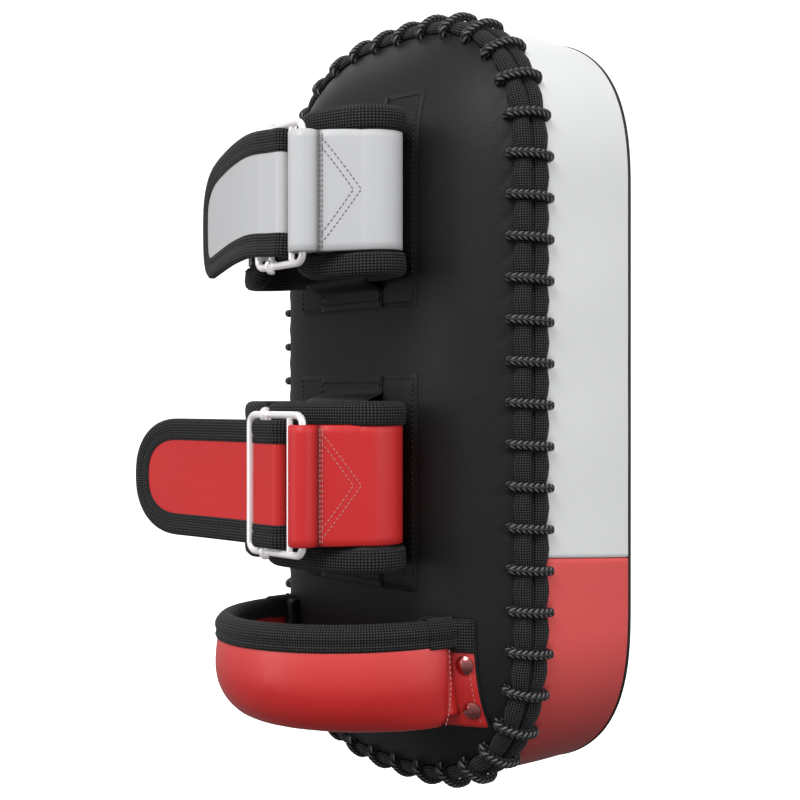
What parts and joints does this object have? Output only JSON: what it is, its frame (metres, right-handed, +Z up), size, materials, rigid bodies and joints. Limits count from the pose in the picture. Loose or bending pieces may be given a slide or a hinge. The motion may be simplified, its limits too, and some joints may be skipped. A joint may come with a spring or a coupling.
{
  "type": "thai pad",
  "caption": "Upright kick-training pad with a laced, crowned back, padded forearm cuffs with buckled straps and a riveted guard band.",
  "frame": {"origin": "the point of the forearm's axis at mid height of the pad, inside the line of the two cuffs", "axes": "+Z up the long axis of the pad along the forearm, -Y out of the striking face, +X towards the side that the strap tongues point to"},
  "size_m": [0.214, 0.1805, 0.4038],
  "materials": {
    "black_leather": "fine-grained satin",
    "white_leather": "fine-grained satin",
    "red_leather": "fine-grained satin",
    "grey_leather": "fine-grained satin",
    "webbing": "ribbed woven tape",
    "cord": "braided",
    "fastener_tape": "hook and loop pile",
    "foam": "closed-cell foam",
    "chrome": "polished"
  },
  "bodies": {
    "pad": {"striking_foam": "foam", "core_foam": "foam", "back_foam": "foam", "striking_panel": "black_leather", "edge_piping": "black_leather", "side_wall_white": "white_leather", "side_wall_red": "red_leather", "back_panel": "black_leather", "back_edge_tape": "webbing", "side_edge_tape": "webbing", "lacing_cord": "cord", "upper_patch": "black_leather", "upper_keeper": "black_leather", "upper_cuff_foam": "foam", "upper_cuff_cover": "black_leather", "upper_cuff_lining": "black_leather", "upper_cuff_binding": "webbing", "upper_outer_strap": "grey_leather", "upper_threading_strap": "grey_leather", "upper_loop_patch": "fastener_tape", "middle_patch": "black_leather", "middle_keeper": "black_leather", "middle_cuff_foam": "foam", "middle_cuff_cover": "black_leather", "middle_cuff_lining": "black_leather", "middle_cuff_binding": "webbing", "middle_outer_strap": "red_leather", "middle_threading_strap": "red_leather", "middle_loop_patch": "fastener_tape", "guard_foam": "foam", "guard_shell": "red_leather", "guard_lining": "red_leather", "guard_rim_binding": "webbing", "guard_end_wraps": "webbing", "guard_tabs": "red_leather", "guard_rivets": "chrome", "guard_rivet_washers": "chrome"},
    "upper_buckle": {"upper_buckle_frame": "chrome", "upper_buckle_bars": "chrome", "upper_strap_fold": "grey_leather", "upper_fold_binding": "webbing"},
    "upper_tongue": {"upper_tongue_strap": "grey_leather", "upper_tongue_binding": "webbing", "upper_tongue_hook_patch": "fastener_tape"},
    "middle_buckle": {"middle_buckle_frame": "chrome", "middle_buckle_bars": "chrome", "middle_strap_fold": "red_leather", "middle_fold_binding": "webbing"},
    "middle_tongue": {"middle_tongue_strap": "red_leather", "middle_tongue_binding": "webbing", "middle_tongue_hook_patch": "fastener_tape"}
  },
  "joints": [
    {"name": "upper_buckle_swivel", "type": "hinge", "parent": "pad", "child": "upper_buckle", "pos_m": [-0.0455, 0.0354, 0.097], "axis": [0, 0, 1], "range_deg": [0, 14]},
    {"name": "upper_tongue_peel", "type": "hinge", "parent": "upper_buckle", "child": "upper_tongue", "pos_m": [0.00087, 0.03958, 0.097], "axis": [0, 0, 1], "range_deg": [-3, 45]},
    {"name": "middle_buckle_swivel", "type": "hinge", "parent": "pad", "child": "middle_buckle", "pos_m": [-0.0455, 0.0354, -0.04], "axis": [0, 0, 1], "range_deg": [0, 14]},
    {"name": "middle_tongue_peel", "type": "hinge", "parent": "middle_buckle", "child": "middle_tongue", "pos_m": [0.00068, 0.03759, -0.04], "axis": [0, 0, 1], "range_deg": [-8, 40]}
  ]
}
